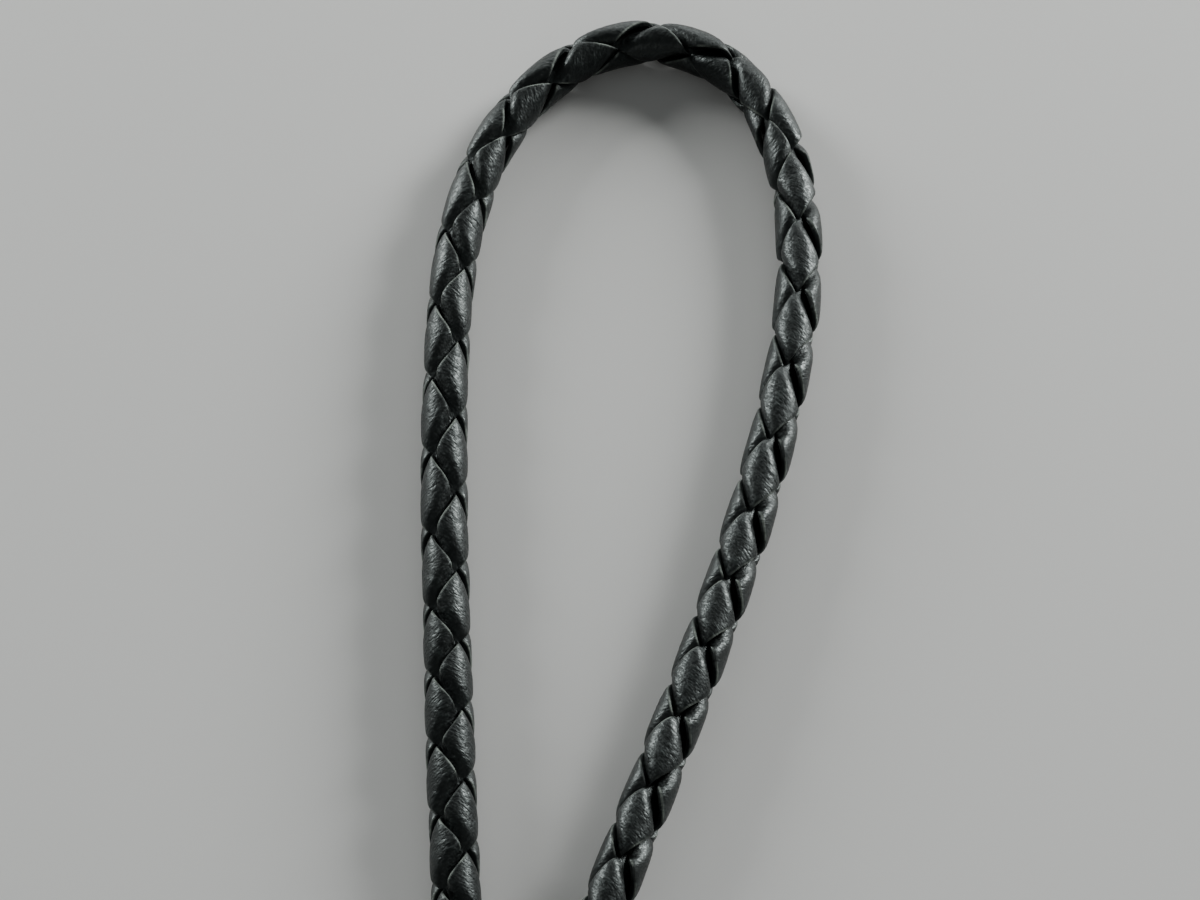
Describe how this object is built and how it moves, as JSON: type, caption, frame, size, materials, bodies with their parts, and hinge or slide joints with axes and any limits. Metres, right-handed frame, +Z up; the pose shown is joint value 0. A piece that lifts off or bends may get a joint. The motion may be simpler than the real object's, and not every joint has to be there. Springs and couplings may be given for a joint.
{
  "type": "bolo tie",
  "caption": "Round braided leather neck cord with a plain metal slide and a tapered metal tip on each free end, laid flat with its neck loop open.",
  "frame": {"origin": "centre of the slide's flat underside", "axes": "+X across the legs, to the right in the picture, +Y along the legs towards the top of the neck loop, +Z up from the surface it lies on"},
  "size_m": [0.0559, 0.4455, 0.0089],
  "materials": {
    "leather": "semi-gloss, fine creases",
    "metal": "satin"
  },
  "bodies": {
    "root": {"lace_1": "leather", "lace_2": "leather", "lace_3": "leather", "lace_4": "leather", "slide": "metal", "tip_left": "metal", "tip_right": "metal"}
  },
  "joints": []
}
